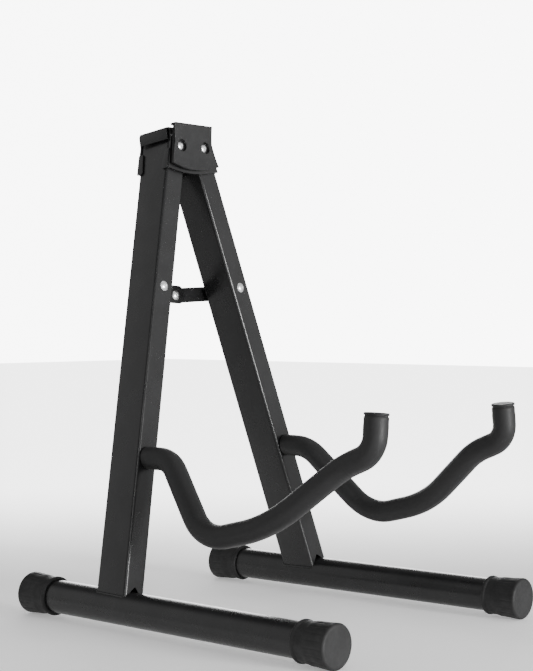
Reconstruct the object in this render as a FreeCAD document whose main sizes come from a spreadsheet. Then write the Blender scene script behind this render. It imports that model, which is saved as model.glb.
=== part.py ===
"""Folding A-frame stand with two padded yoke arms.

Row frame, millimetres: +X right, +Y back, +Z up, floor at Z = 0. Two legs lean back as one plane and
splay apart from a hinge bracket at the top. Each leg is welded to a foot tube that runs front to back,
and carries one bent arm that is sleeved in foam. A two-strap toggle link behind the legs locks the
stand open.
"""
import FreeCAD, Part
import math
import os
import Sketcher

App = FreeCAD
Vector = App.Vector
X_AXIS, Y_AXIS, Z_AXIS = Vector(1, 0, 0), Vector(0, 1, 0), Vector(0, 0, 1)
SIDES = (("left", -1), ("right", 1))

OVERLAP = 1
"""How far a joined piece or a cutting tool runs on past the face it meets."""
ROUND_MIDDLE = 1 - math.sqrt(0.5)
"""How far the middle of a quarter round lies in from its corner, as a share of its radius."""
STRAP_END_BULGE = 0.85
"""How far a strap's rounded end bulges, as a share of its half height."""

DRIVING = {
    # posture of the open stand
    "lean_angle": 7.8,
    "splay_angle": 15.35,
    "foot_half_spacing": 117.5,
    "leg_foot_y": 65.7,
    "foot_toe_angle": 1.25,
    # foot tubes and their rubber caps
    "foot_tube_radius": 13.4,
    "foot_tube_wall": 1.2,
    "foot_front_reach": 223.5,
    "foot_rear_reach": 105.3,
    "cap_length": 32,
    "cap_end_wall": 3,
    "cap_rim_radius": 15,
    "cap_bead_radius": 15.9,
    "cap_waist_radius": 15.7,
    "cap_end_radius": 16.8,
    "cap_bead_width": 4,
    "cap_bead_bevel": 1.2,
    "cap_edge_round": 2.2,
    # legs
    "leg_width": 21,
    "leg_depth": 33.2,
    "leg_wall": 1.2,
    "leg_corner_round": 2.5,
    "leg_length": 400,
    "hinge_pin_along": 389.5,
    "link_pin_along": 264.5,
    "arm_along": 119,
    # yoke arms
    "rod_radius": 5,
    "sleeve_radius": 9.2,
    "rod_depth_in_leg": 28,
    "tip_cap_thickness": 2.2,
    "tip_edge_round": 0.8,
    "tip_spigot_radius": 3,
    "tip_spigot_length": 8,
    # hinge bracket and its bumper
    "bracket_top": 392,
    "bracket_sheet": 2,
    "bracket_half_width": 24.2,
    "bracket_waist": 377,
    "bracket_shoulder_rise": 3,
    "bracket_skirt_end": 356.5,
    "bracket_skirt_low": 352.6,
    "side_flange_inner": 25,
    "side_flange_sheet": 1.2,
    "side_flange_drop": 10.6,
    "side_flange_setback": 0.5,
    "lug_sheet": 1.2,
    "lug_reach": 5,
    "lug_bottom": 366,
    "lug_top": 384,
    "bumper_wall": 2.6,
    "bumper_top_stand": 6,
    "bumper_middle_stand": 3.6,
    "bumper_bottom_stand": 4.5,
    "bumper_top": 394.6,
    "bumper_lip_thickness": 1.9,
    "bumper_lip_gap": 0.5,
    "bumper_top_half_width": 23,
    "bumper_waist_half_width": 22.8,
    "bumper_waist": 379,
    "bumper_bottom_half_width": 28.3,
    "bumper_bottom_end": 359.6,
    "bumper_bottom_low": 354.9,
    "bumper_hole_radius": 5.2,
    "bumper_boss_wall": 1.6,
    "bumper_boss_setback": 0.6,
    "bumper_seat": 0.8,
    # rivets
    "hinge_shank_radius": 3,
    "hinge_head_radius": 4.2,
    "hinge_head_height": 1.8,
    "link_shank_radius": 2.5,
    "link_head_radius": 4.2,
    "link_head_height": 1.8,
    # toggle link
    "spacer_lip": 1,
    "strap_sheet": 2,
    "strap_half_height": 6.5,
    "tab_strap_half_height": 6.9,
    "strap_layer_gap": 0.2,
    "toggle_sag": 2.4,
    "tab_web_start": -6,
    "tab_web_slope": 1.5,
    "tab_fold_start": 3.2,
    "tab_sheet": 1.4,
    "tab_rest_gap": 0.9,
    "left_strap_overrun": 5.6,
    "right_strap_overrun": 0.5,
    # fits
    "running_gap": 0.05,
    "face_gap": 0.1,
}

# Arm bends from the point where the rod leaves the leg: outward, forward and upward.
ARM_BENDS = (
    ("root", 0, 0, 0),
    ("shoulder", 0, 26, 0),
    ("dip", 19, 80, -57.5),
    ("rise", 16, 142, -42),
    ("crest", 0, 198.5, 4.5),
    ("heel", 0.5, 227.3, 16.5),
    ("tip", -2.5, 226.8, 42.8),
)
# Bend radius of the rod's centre line at each bend between the root and the tip.
ARM_RADII = {"shoulder": 26, "dip": 36, "rise": 105, "crest": 60, "heel": 18}

doc = App.newDocument("guitar_stand")
sheet = doc.addObject("Spreadsheet::Sheet", "Sizes")


class Size:
    """A length that knows its value and the sheet expression that gives it."""

    def __init__(self, value, text):
        self.value = float(value)
        self.text = text

    def _join(self, other, sign, value):
        text = other.text if isinstance(other, Size) else repr(other)
        return Size(value, "(%s %s %s)" % (self.text, sign, text))

    def __add__(self, other):
        return self._join(other, "+", self.value + amount(other))

    def __sub__(self, other):
        return self._join(other, "-", self.value - amount(other))

    def __mul__(self, other):
        return self._join(other, "*", self.value * amount(other))

    def __truediv__(self, other):
        return self._join(other, "/", self.value / amount(other))

    def __neg__(self):
        return Size(-self.value, "(0 - %s)" % self.text)


def amount(size):
    return size.value if isinstance(size, Size) else float(size)


def fill_sheet():
    """Write the driving dimensions, one row each, and return them by name."""
    rows = list(DRIVING.items())
    for name, out, forward, up in ARM_BENDS:
        rows += [("arm_%s_out" % name, out), ("arm_%s_forward" % name, forward),
                 ("arm_%s_up" % name, up)]
    rows += [("arm_%s_radius" % name, radius) for name, radius in ARM_RADII.items()]
    sizes = {}
    for row, (name, value) in enumerate(rows, start=1):
        sheet.set("A%d" % row, name)
        sheet.set("B%d" % row, repr(value))
        sheet.setAlias("B%d" % row, name)
        sizes[name] = Size(value, "Sizes.%s" % name)
    doc.recompute()
    return sizes


S = fill_sheet()


def bind(feature, **properties):
    """Drive each named property of a feature from the sheet."""
    for name, size in properties.items():
        if isinstance(size, Size):
            feature.setExpression(name, size.text)
        else:
            setattr(feature, name, size)


# ---------------------------------------------------------------- sketches and bodies

def origin_plane(body, role):
    return next(f for f in body.Origin.OriginFeatures if f.Role == role)


def new_body(label, placement=None):
    body = doc.addObject("PartDesign::Body", label)
    body.Label = label
    if placement is not None:
        body.Placement = placement
    return body


def new_sketch(body, role, name, offset=0):
    """A sketch on one of the body's own origin planes, moved along the plane's normal."""
    sketch = body.newObject("Sketcher::SketchObject", name)
    sketch.AttachmentSupport = (origin_plane(body, role), [""])
    sketch.MapMode = "FlatFace"
    sketch.AttachmentOffset = App.Placement(Vector(0, 0, amount(offset)), App.Rotation())
    if isinstance(offset, Size):
        sketch.setExpression("AttachmentOffset.Base.z", offset.text)
    return sketch


def pin_point(sketch, geometry, corner, x, y):
    """Fix one end of an edge at sizes x, y from the sketch's origin."""
    for size, kind, axis in ((x, "DistanceX", -2), (y, "DistanceY", -1)):
        if abs(amount(size)) < 1e-9:
            sketch.addConstraint(Sketcher.Constraint("PointOnObject", geometry, corner, axis))
            continue
        index = sketch.addConstraint(
            Sketcher.Constraint(kind, -1, 1, geometry, corner, amount(size)))
        if isinstance(size, Size):
            sketch.setExpression("Constraints[%d]" % index, size.text)


def add_circle(sketch, radius, x=0, y=0):
    centre = Vector(amount(x), amount(y), 0)
    index = sketch.addGeometry(Part.Circle(centre, Z_AXIS, amount(radius)), False)
    constraint = sketch.addConstraint(Sketcher.Constraint("Radius", index, amount(radius)))
    if isinstance(radius, Size):
        sketch.setExpression("Constraints[%d]" % constraint, radius.text)
    pin_point(sketch, index, 3, x, y)


def add_outline(sketch, points, arcs=None):
    """A closed outline through points. arcs maps an edge's number to a point that its arc passes."""
    arcs = arcs or {}
    count = len(points)
    flat = [Vector(amount(x), amount(y), 0) for x, y in points]
    edges = []
    for i in range(count):
        start, end = flat[i], flat[(i + 1) % count]
        if i in arcs:
            middle = Vector(amount(arcs[i][0]), amount(arcs[i][1]), 0)
            edges.append(sketch.addGeometry(Part.Arc(start, middle, end), False))
        else:
            edges.append(sketch.addGeometry(Part.LineSegment(start, end), False))

    def ends(i):
        """Which corners of edge i are its first and last along the outline."""
        if i not in arcs:
            return 1, 2
        start = sketch.getPoint(edges[i], 1)
        return (1, 2) if start.distanceToPoint(flat[i]) < 1e-6 else (2, 1)

    for i in range(count):
        after = (i + 1) % count
        sketch.addConstraint(
            Sketcher.Constraint("Coincident", edges[i], ends(i)[1], edges[after], ends(after)[0]))
        pin_point(sketch, edges[i], ends(i)[0], *points[i])
    for i in arcs:
        radius = sketch.Geometry[edges[i]].Radius
        sketch.addConstraint(Sketcher.Constraint("Radius", edges[i], radius))


def add_rectangle(sketch, x_low, x_high, y_low, y_high):
    add_outline(sketch, [(x_low, y_low), (x_high, y_low), (x_high, y_high), (x_low, y_high)])


def pad(body, sketch, length, reverse=False, both_ways=False):
    feature = body.newObject("PartDesign::Pad", sketch.Name + "_pad")
    feature.Profile = sketch
    feature.Reversed = reverse
    feature.Midplane = both_ways
    bind(feature, Length=length)
    doc.recompute()
    return feature


def pocket(body, sketch, length, reverse=False, both_ways=False):
    before = body.Shape.Volume
    feature = body.newObject("PartDesign::Pocket", sketch.Name + "_pocket")
    feature.Profile = sketch
    feature.Reversed = reverse
    feature.Midplane = both_ways
    bind(feature, Length=length)
    doc.recompute()
    if body.Shape.Volume > before - 1e-3:
        raise RuntimeError("pocket %s cuts nothing" % feature.Name)
    return feature


def revolve(body, sketch):
    """A full turn about the sketch's upright axis."""
    feature = body.newObject("PartDesign::Revolution", sketch.Name + "_turn")
    feature.Profile = sketch
    feature.ReferenceAxis = (sketch, ["V_Axis"])
    feature.Angle = 360
    doc.recompute()
    return feature


def round_edges(body, radius, wanted, name):
    """Fillet the edges of the body's tip for which wanted(edge) is true."""
    base = body.Tip
    names = ["Edge%d" % (i + 1) for i, edge in enumerate(base.Shape.Edges) if wanted(edge)]
    feature = body.newObject("PartDesign::Fillet", name)
    feature.Base = (base, names)
    bind(feature, Radius=radius)
    doc.recompute()
    return feature


def along(edge, axis):
    """True where a straight edge runs along the given axis."""
    if not isinstance(edge.Curve, Part.Line):
        return False
    return abs(edge.tangentAt(edge.FirstParameter).dot(axis)) > 0.999


# ---------------------------------------------------------------- frames of reference

def turn(axis, degrees, base=Vector(0, 0, 0)):
    return App.Placement(base, App.Rotation(axis, degrees))


def shift(x, y, z):
    return App.Placement(Vector(x, y, z), App.Rotation())


# The leaning plane: X across, Y from front to back through the legs, Z up along the lean.
LEAN = turn(X_AXIS, -S["lean_angle"].value,
            Vector(0, S["leg_foot_y"].value, S["cap_end_radius"].value))


def leg_frame(side):
    """Z runs up the leg's axis from the foot tube's axis, Y from its front face to its back."""
    splay = turn(Y_AXIS, -side * S["splay_angle"].value,
                 Vector(side * S["foot_half_spacing"].value, 0, 0))
    return LEAN * splay


def pin_in_lean(side, along_leg):
    """Where a pin at this distance up the leg lies in the leaning plane: across and up."""
    splay = math.radians(S["splay_angle"].value)
    across = S["foot_half_spacing"].value - along_leg.value * math.sin(splay)
    return side * across, along_leg.value * math.cos(splay)


def foot_frame(side):
    """Z runs forward along the foot tube's axis from where the leg stands on it."""
    foot = turn(Z_AXIS, side * S["foot_toe_angle"].value,
                Vector(side * S["foot_half_spacing"].value, S["leg_foot_y"].value,
                       S["cap_end_radius"].value))
    return foot * turn(X_AXIS, 90)


HALF_DEPTH = S["leg_depth"] / 2
PLATE_IN = HALF_DEPTH + S["face_gap"]
PLATE_OUT = PLATE_IN + S["bracket_sheet"]
PIN_ACROSS, PIN_UP = pin_in_lean(1, S["hinge_pin_along"])


# ---------------------------------------------------------------- legs and feet

def foot_bore(side, name):
    """The foot tube's outer cylinder, which the foot of the leg is notched to fit."""
    cylinder = doc.addObject("Part::Cylinder", name)
    bind(cylinder, Radius=S["foot_tube_radius"], Height=S["foot_front_reach"] + S["foot_rear_reach"])
    cylinder.Placement = foot_frame(side) * shift(0, 0, -S["foot_rear_reach"].value)
    return cylinder


def rod_bore(side, name):
    """The hole that the arm's rod enters through, in the leg's front wall only."""
    root = arm_points(side)[0]
    cylinder = doc.addObject("Part::Cylinder", name)
    bind(cylinder, Radius=S["rod_radius"] + S["running_gap"], Height=S["leg_depth"])
    cylinder.Placement = turn(X_AXIS, 90, root + Vector(0, HALF_DEPTH.value, 0))
    return cylinder


def make_leg(name, side):
    body = new_body(name + "_leg_blank", leg_frame(side))
    half_width = S["leg_width"] / 2
    outer = new_sketch(body, "XY_Plane", name + "_leg_outer")
    add_rectangle(outer, -half_width, half_width, -HALF_DEPTH, HALF_DEPTH)
    pad(body, outer, S["leg_length"])
    round_edges(body, S["leg_corner_round"], lambda e: along(e, Z_AXIS), name + "_leg_round")
    inner = new_sketch(body, "XY_Plane", name + "_leg_inner")
    add_rectangle(inner, S["leg_wall"] - half_width, half_width - S["leg_wall"],
                  S["leg_wall"] - HALF_DEPTH, HALF_DEPTH - S["leg_wall"])
    pocket(body, inner, S["leg_length"], reverse=True)
    pins = new_sketch(body, "XZ_Plane", name + "_leg_pins")
    add_circle(pins, S["hinge_shank_radius"] + S["running_gap"], 0, S["hinge_pin_along"])
    add_circle(pins, S["link_shank_radius"] + S["running_gap"], 0, S["link_pin_along"])
    pocket(body, pins, S["leg_depth"] * 2, both_ways=True)
    tools = doc.addObject("Part::MultiFuse", name + "_leg_cuts")
    tools.Shapes = [foot_bore(side, name + "_foot_bore"),
                    rod_bore(side, name + "_rod_bore")]
    leg = doc.addObject("Part::Cut", name + "_leg_tube")
    leg.Base = body
    leg.Tool = tools
    doc.recompute()
    return leg


def make_foot_tube(name, side):
    """A round tube from one cap's end wall to the other's."""
    rear_end = S["cap_end_wall"].value - S["foot_rear_reach"].value
    body = new_body(name + "_foot_tube", foot_frame(side) * shift(0, 0, rear_end))
    ring = new_sketch(body, "XY_Plane", name + "_foot_ring")
    add_circle(ring, S["foot_tube_radius"])
    add_circle(ring, S["foot_tube_radius"] - S["foot_tube_wall"])
    pad(body, ring, S["foot_front_reach"] + S["foot_rear_reach"] - S["cap_end_wall"] * 2)
    return body


def make_foot_cap(name, side, end):
    """A rubber cap with a bead round its open rim, pushed on the foot tube."""
    reach = S["foot_front_reach"] if end == "front" else S["foot_rear_reach"]
    rim = reach.value - S["cap_length"].value
    facing = 0 if end == "front" else 180
    body = new_body("%s_%s_foot_cap" % (name, end),
                    foot_frame(side) * turn(Y_AXIS, facing) * shift(0, 0, rim))
    profile = new_sketch(body, "XZ_Plane", "%s_%s_cap_profile" % (name, end))
    inner, rim_radius, bead = S["foot_tube_radius"], S["cap_rim_radius"], S["cap_bead_radius"]
    waist, end_radius = S["cap_waist_radius"], S["cap_end_radius"]
    length, wall = S["cap_length"], S["cap_end_wall"]
    width, bevel, soft = S["cap_bead_width"], S["cap_bead_bevel"], S["cap_edge_round"]
    add_outline(profile, [
        (inner, 0), (rim_radius, 0), (bead, bevel), (bead, width - bevel), (waist, width),
        (end_radius, length - soft), (end_radius - soft, length), (0, length), (0, length - wall),
        (inner, length - wall)],
        arcs={5: (end_radius - soft * ROUND_MIDDLE, length - soft * ROUND_MIDDLE)})
    revolve(body, profile)
    return body


# ---------------------------------------------------------------- arms

def arm_points(side):
    """The rod's corner points in the row frame, from the leg's front face to the tip."""
    face = leg_frame(side).multVec(Vector(0, -HALF_DEPTH.value, S["arm_along"].value))
    points = []
    for name, *_ in ARM_BENDS:
        out, forward, up = (S["arm_%s_%s" % (name, way)].value for way in ("out", "forward", "up"))
        points.append(face + Vector(side * out, -forward, up))
    return points


def bent_path(points, radii):
    """Straight runs joined by tangent arcs of the given radii."""
    edges = []
    start = points[0]
    for before, corner, after, radius in zip(points, points[1:], points[2:], radii):
        back, ahead = (before - corner).normalize(), (after - corner).normalize()
        turned = math.pi - back.getAngle(ahead)
        cut = radius * math.tan(turned / 2)
        enter, leave = corner + back * cut, corner + ahead * cut
        to_centre = (back + ahead).normalize()
        centre = corner + to_centre * math.hypot(cut, radius)
        edges.append(Part.LineSegment(start, enter).toShape())
        edges.append(Part.Arc(enter, centre - to_centre * radius, leave).toShape())
        start = leave
    edges.append(Part.LineSegment(start, points[-1]).toShape())
    return Part.Wire(edges)


def swept_rod(label, points, radii, radius):
    """A round bar of this radius along the bent path."""
    path = doc.addObject("Part::Feature", label + "_path")
    path.Shape = bent_path(points, radii)
    section = doc.addObject("Part::Circle", label + "_section")
    bind(section, Radius=radius)
    section.Placement = App.Placement(points[0], App.Rotation(Z_AXIS, points[1] - points[0]))
    sweep = doc.addObject("Part::Sweep", label)
    sweep.Sections = [section]
    sweep.Spine = (path, ["Edge%d" % (i + 1) for i in range(len(path.Shape.Edges))])
    sweep.Solid = True
    sweep.Frenet = False
    doc.recompute()
    expected = math.pi * amount(radius) ** 2 * path.Shape.Length
    if abs(sweep.Shape.Volume / expected - 1) > 0.01:
        raise RuntimeError("sweep %s has the wrong volume" % label)
    return sweep


def make_arm(name, side):
    """The bent steel rod, its foam sleeve and the cap on its upturned tip."""
    points = arm_points(side)
    radii = [S["arm_%s_radius" % bend].value for bend in ARM_RADII]
    inside_leg = points[0] + Vector(0, S["rod_depth_in_leg"].value, 0)
    tip_frame = App.Placement(points[-1], App.Rotation(Z_AXIS, points[-1] - points[-2]))

    rod = doc.addObject("Part::Cut", name + "_arm_rod")
    rod.Base = swept_rod(name + "_rod_bar", [inside_leg] + points[1:], radii, S["rod_radius"])
    socket = doc.addObject("Part::Cylinder", name + "_rod_socket")
    bind(socket, Radius=S["tip_spigot_radius"] + S["running_gap"], Height=S["tip_spigot_length"] + OVERLAP)
    socket.Placement = tip_frame * shift(0, 0, -S["tip_spigot_length"].value - OVERLAP)
    rod.Tool = socket

    foam = swept_rod(name + "_sleeve_bar", [inside_leg] + points[1:], radii, S["sleeve_radius"])
    bore = swept_rod(name + "_sleeve_bore", [inside_leg] + points[1:], radii,
                     S["rod_radius"] + S["running_gap"])
    leg_block = doc.addObject("Part::Box", name + "_sleeve_trim")
    bind(leg_block, Length=S["leg_width"] * 2, Width=S["leg_depth"] * 2, Height=S["leg_depth"] * 2)
    leg_block.Placement = leg_frame(side) * shift(-S["leg_width"].value, -HALF_DEPTH.value,
                                                  S["arm_along"].value - S["leg_depth"].value)
    hollow = doc.addObject("Part::MultiFuse", name + "_sleeve_cuts")
    hollow.Shapes = [bore, leg_block]
    sleeve = doc.addObject("Part::Cut", name + "_arm_sleeve")
    sleeve.Base = foam
    sleeve.Tool = hollow

    cap = new_body(name + "_arm_tip_cap", tip_frame)
    profile = new_sketch(cap, "XZ_Plane", name + "_tip_profile")
    rim, thick = S["sleeve_radius"], S["tip_cap_thickness"]
    spigot, length, soft = S["tip_spigot_radius"], S["tip_spigot_length"], S["tip_edge_round"]
    add_outline(profile, [
        (0, -length), (spigot, -length), (spigot, 0), (rim, 0), (rim, thick - soft),
        (rim - soft, thick), (0, thick)],
        arcs={4: (rim - soft * ROUND_MIDDLE, thick - soft * ROUND_MIDDLE)})
    revolve(cap, profile)
    doc.recompute()
    return [rod, sleeve, cap]


# ---------------------------------------------------------------- hinge bracket and bumper

def skirt_half_width(height):
    """Half the bracket's width at this height, where its skirt follows the legs' outer faces."""
    splay = math.radians(S["splay_angle"].value)
    face = S["leg_width"].value / 2 + S["face_gap"].value + S["lug_sheet"].value / 2
    return PIN_ACROSS - (height - PIN_UP) * math.tan(splay) + face / math.cos(splay)


def lug(side, depth_sign, name):
    """A stop lug: the plate's edge folded over the leg's outer face."""
    box = doc.addObject("Part::Box", name)
    bind(box, Length=S["lug_sheet"], Width=S["lug_reach"] + S["bracket_sheet"] + S["face_gap"],
         Height=S["lug_top"] - S["lug_bottom"])
    face = S["leg_width"].value / 2 + S["face_gap"].value
    across = face if side > 0 else -face - S["lug_sheet"].value
    depth = HALF_DEPTH.value - S["lug_reach"].value if depth_sign > 0 else -PLATE_OUT.value
    box.Placement = leg_frame(side) * shift(across, depth, S["lug_bottom"].value)
    return box


def bracket_plate(name, offset):
    """One side plate of the bracket, straight at the top and flared over the legs."""
    plate = new_body(name, LEAN)
    sketch = new_sketch(plate, "XZ_Plane", name + "_outline", offset)
    wide, top = S["bracket_half_width"], S["bracket_top"]
    waist, end, low = S["bracket_waist"], S["bracket_skirt_end"], S["bracket_skirt_low"]
    shoulder = waist + S["bracket_shoulder_rise"]
    flare = skirt_half_width(end.value)
    at_waist = skirt_half_width(waist.value)
    add_outline(sketch, [
        (-wide, top), (-wide, shoulder), (-at_waist, waist), (-flare, end), (flare, end),
        (at_waist, waist), (wide, shoulder), (wide, top)], arcs={3: (0, low)})
    add_circle(sketch, S["hinge_shank_radius"], PIN_ACROSS, PIN_UP)
    add_circle(sketch, S["hinge_shank_radius"], -PIN_ACROSS, PIN_UP)
    pad(plate, sketch, S["bracket_sheet"])
    return plate


def make_bracket():
    """Front plate, roof, rear plate, side flanges and four stop lugs, folded from one sheet."""
    flange = S["side_flange_sheet"]
    outer = S["side_flange_inner"] + flange
    roof = new_body("bracket_roof", LEAN)
    top = new_sketch(roof, "XZ_Plane", "roof_section")
    add_rectangle(top, -outer, outer, S["bracket_top"] - flange, S["bracket_top"])
    pad(roof, top, PLATE_OUT * 2 - flange, both_ways=True)
    flanges = []
    for name, side in SIDES:
        body = new_body(name + "_bracket_flange", LEAN)
        sketch = new_sketch(body, "XZ_Plane", name + "_flange_section")
        low = S["bracket_top"] - S["side_flange_drop"]
        inner_edge, outer_edge = S["side_flange_inner"], outer
        if side < 0:
            inner_edge, outer_edge = -outer_edge, -inner_edge
        add_rectangle(sketch, inner_edge, outer_edge, low, S["bracket_top"] - flange / 2)
        pad(body, sketch, S["leg_depth"] - S["side_flange_setback"] * 2, both_ways=True)
        flanges.append(body)
    plates = [bracket_plate("bracket_front_plate", PLATE_IN),
              bracket_plate("bracket_rear_plate", -PLATE_OUT)]
    lugs = [lug(side, sign, "%s_%s_lug" % (name, end))
            for name, side in SIDES for sign, end in ((-1, "front"), (1, "rear"))]
    bracket = doc.addObject("Part::MultiFuse", "hinge_bracket")
    bracket.Shapes = [roof] + flanges + plates + lugs
    bracket.Refine = True
    doc.recompute()
    return bracket


def bumper_outline():
    """The bumper's outline seen from the front, as a block much deeper than its wall."""
    body = new_body("bumper_outline", LEAN)
    top, waist = S["bumper_top"], S["bumper_waist"]
    wide, waist_wide = S["bumper_top_half_width"], S["bumper_waist_half_width"]
    bottom_wide, bottom = S["bumper_bottom_half_width"], S["bumper_bottom_end"]
    sketch = new_sketch(body, "XZ_Plane", "bumper_front_outline", HALF_DEPTH)
    add_outline(sketch, [(-wide, top), (-waist_wide, waist), (-bottom_wide, bottom),
                         (bottom_wide, bottom), (waist_wide, waist), (wide, top)],
                arcs={2: (0, S["bumper_bottom_low"])})
    pad(body, sketch, S["leg_depth"])
    return body


def bumper_wall():
    """The bumper's wall from the side: hollowed in front, with a lip turned back along its top."""
    body = new_body("bumper_wall", LEAN)
    top, under_lip = S["bumper_top"], S["bumper_top"] - S["bumper_lip_thickness"]
    low = S["bumper_bottom_low"] - OVERLAP
    wall = S["bumper_wall"]
    stands = [S["bumper_top_stand"], S["bumper_middle_stand"], S["bumper_bottom_stand"]]
    front_top, front_middle, front_low = (-(PLATE_OUT + stand) for stand in stands)
    sketch = new_sketch(body, "YZ_Plane", "bumper_wall_section")
    add_outline(sketch, [
        (front_top, top), (-(PLATE_OUT + S["bumper_lip_gap"]), top),
        (-(PLATE_OUT + S["bumper_lip_gap"]), under_lip), (front_top + wall, under_lip),
        (front_low + wall, low), (front_low, low)],
        arcs={3: (front_middle + wall, PIN_UP), 5: (front_middle, PIN_UP)})
    pad(body, sketch, S["bumper_bottom_half_width"] * 2, both_ways=True)
    return body


def make_bumper():
    """Moulded bumper over the bracket's front, on two bosses that hold the rivet heads."""
    shell = doc.addObject("Part::Common", "bumper_shell")
    shell.Base = bumper_outline()
    shell.Tool = bumper_wall()
    bosses, bores = [], []
    front = PLATE_OUT + S["bumper_top_stand"]
    for name, side in SIDES:
        for kind, radius, start, length, group in (
                ("boss", S["bumper_hole_radius"] + S["bumper_boss_wall"], PLATE_OUT,
                 S["bumper_middle_stand"] - S["bumper_boss_setback"], bosses),
                ("well", S["bumper_hole_radius"], PLATE_OUT + S["bumper_seat"], front, bores),
                ("shank", S["hinge_shank_radius"] + S["running_gap"], PLATE_OUT - OVERLAP, front,
                 bores)):
            cylinder = doc.addObject("Part::Cylinder", "%s_bumper_%s" % (name, kind))
            bind(cylinder, Radius=radius, Height=length)
            cylinder.Placement = LEAN * turn(X_AXIS, 90, Vector(side * PIN_ACROSS, -start.value,
                                                                PIN_UP))
            group.append(cylinder)
    solid = doc.addObject("Part::MultiFuse", "bumper_with_bosses")
    solid.Shapes = [shell] + bosses
    drill = doc.addObject("Part::MultiFuse", "bumper_bores")
    drill.Shapes = bores
    bumper = doc.addObject("Part::Cut", "hinge_bumper")
    bumper.Base = solid
    bumper.Tool = drill
    doc.recompute()
    return bumper


# ---------------------------------------------------------------- rivets and toggle link

def dome_middle(head, rise):
    """Halfway along a ball-shaped head's outline: across from the axis and up from the face."""
    ball = (amount(head) ** 2 + amount(rise) ** 2) / (2 * amount(rise))
    half_angle = math.asin(amount(head) / ball) / 2
    return ball * math.sin(half_angle), amount(rise) - ball * (1 - math.cos(half_angle))


def make_rivet(label, frame, front, rear, shank, head, rise, front_head=True, rear_head=True):
    """A domed rivet whose shank runs along the frame's Y from front to rear."""
    body = new_body(label, frame * turn(X_AXIS, -90))
    profile = new_sketch(body, "XZ_Plane", label + "_profile")
    across, up = dome_middle(head, rise)
    points = []
    arcs = {}
    if front_head:
        arcs[0] = (across, front.value - up)
        points += [(0, front - rise), (head, front)]
    else:
        points += [(0, front)]
    points += [(shank, front), (shank, rear)]
    if rear_head:
        arcs[len(points)] = (across, rear.value + up)
        points += [(head, rear), (0, rear + rise)]
    else:
        points += [(0, rear)]
    add_outline(profile, points, arcs)
    revolve(body, profile)
    return body


def make_hinge_rivet(name, side):
    frame = LEAN * shift(side * PIN_ACROSS, 0, PIN_UP)
    return make_rivet(name + "_hinge_rivet", frame, -(PLATE_OUT + S["bumper_seat"]), PLATE_OUT,
                      S["hinge_shank_radius"], S["hinge_head_radius"], S["hinge_head_height"])


FRONT_STRAP = HALF_DEPTH + S["strap_layer_gap"]
REAR_STRAP = FRONT_STRAP + S["strap_sheet"] + S["strap_layer_gap"]
STRAP_BACK = REAR_STRAP + S["strap_sheet"]
LINK_ACROSS, LINK_UP = pin_in_lean(1, S["link_pin_along"])
LINK_ANGLE = math.degrees(math.atan2(S["toggle_sag"].value, LINK_ACROSS))
LINK_LENGTH = math.hypot(LINK_ACROSS, S["toggle_sag"].value)


def strap_frame(side):
    """Origin on the leg's link pin, X along the strap towards the centre rivet."""
    base = LEAN * shift(side * LINK_ACROSS, 0, LINK_UP)
    if side < 0:
        return base * turn(Y_AXIS, LINK_ANGLE)
    return base * turn(Y_AXIS, -LINK_ANGLE)


def make_strap(label, side, front, outline, arcs):
    """A flat strap with two rivet holes, drawn from the leg's pin towards the centre rivet."""
    body = new_body(label, strap_frame(side))
    sketch = new_sketch(body, "XZ_Plane", label + "_outline", -front)
    add_outline(sketch, outline, arcs)
    hole = S["link_shank_radius"]
    add_circle(sketch, hole + S["running_gap"], 0, 0)
    add_circle(sketch, hole, -side * LINK_LENGTH, 0)
    pad(body, sketch, S["strap_sheet"], reverse=True)
    return body


def make_right_strap():
    """The plain strap behind, round at both ends."""
    half = S["strap_half_height"]
    far = -(LINK_LENGTH + S["right_strap_overrun"].value)
    bulge = half.value * STRAP_END_BULGE
    outline = [(0, half), (0, -half), (far, -half), (far, half)]
    return make_strap("right_link_strap", 1, REAR_STRAP, outline,
                      {0: (bulge, 0), 2: (far - bulge, 0)})


def make_left_strap():
    """The strap in front, with a tab folded back over the other strap to stop the link opening on."""
    half = S["tab_strap_half_height"]
    rest = S["strap_half_height"] + S["tab_rest_gap"]
    top = rest + S["tab_sheet"]
    far = LINK_LENGTH + S["left_strap_overrun"].value
    web_start = LINK_LENGTH + S["tab_web_start"].value
    bulge = half.value * STRAP_END_BULGE
    outline = [(0, half), (0, -half), (far, -half), (far, top), (web_start, top),
               (web_start - S["tab_web_slope"].value, half)]
    strap = make_strap("left_strap_blank", -1, FRONT_STRAP, outline,
                       {0: (-bulge, 0), 2: (far + bulge, (top.value - half.value) / 2)})
    tab = doc.addObject("Part::Box", "link_stop_tab")
    bind(tab, Length=S["left_strap_overrun"] - S["tab_fold_start"],
         Width=S["strap_sheet"] * 2 + S["strap_layer_gap"], Height=S["tab_sheet"])
    tab.Placement = strap_frame(-1) * shift(LINK_LENGTH + S["tab_fold_start"].value,
                                            FRONT_STRAP.value, rest.value)
    body = doc.addObject("Part::MultiFuse", "left_link_strap")
    body.Shapes = [strap, tab]
    body.Refine = True
    doc.recompute()
    return body


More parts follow.
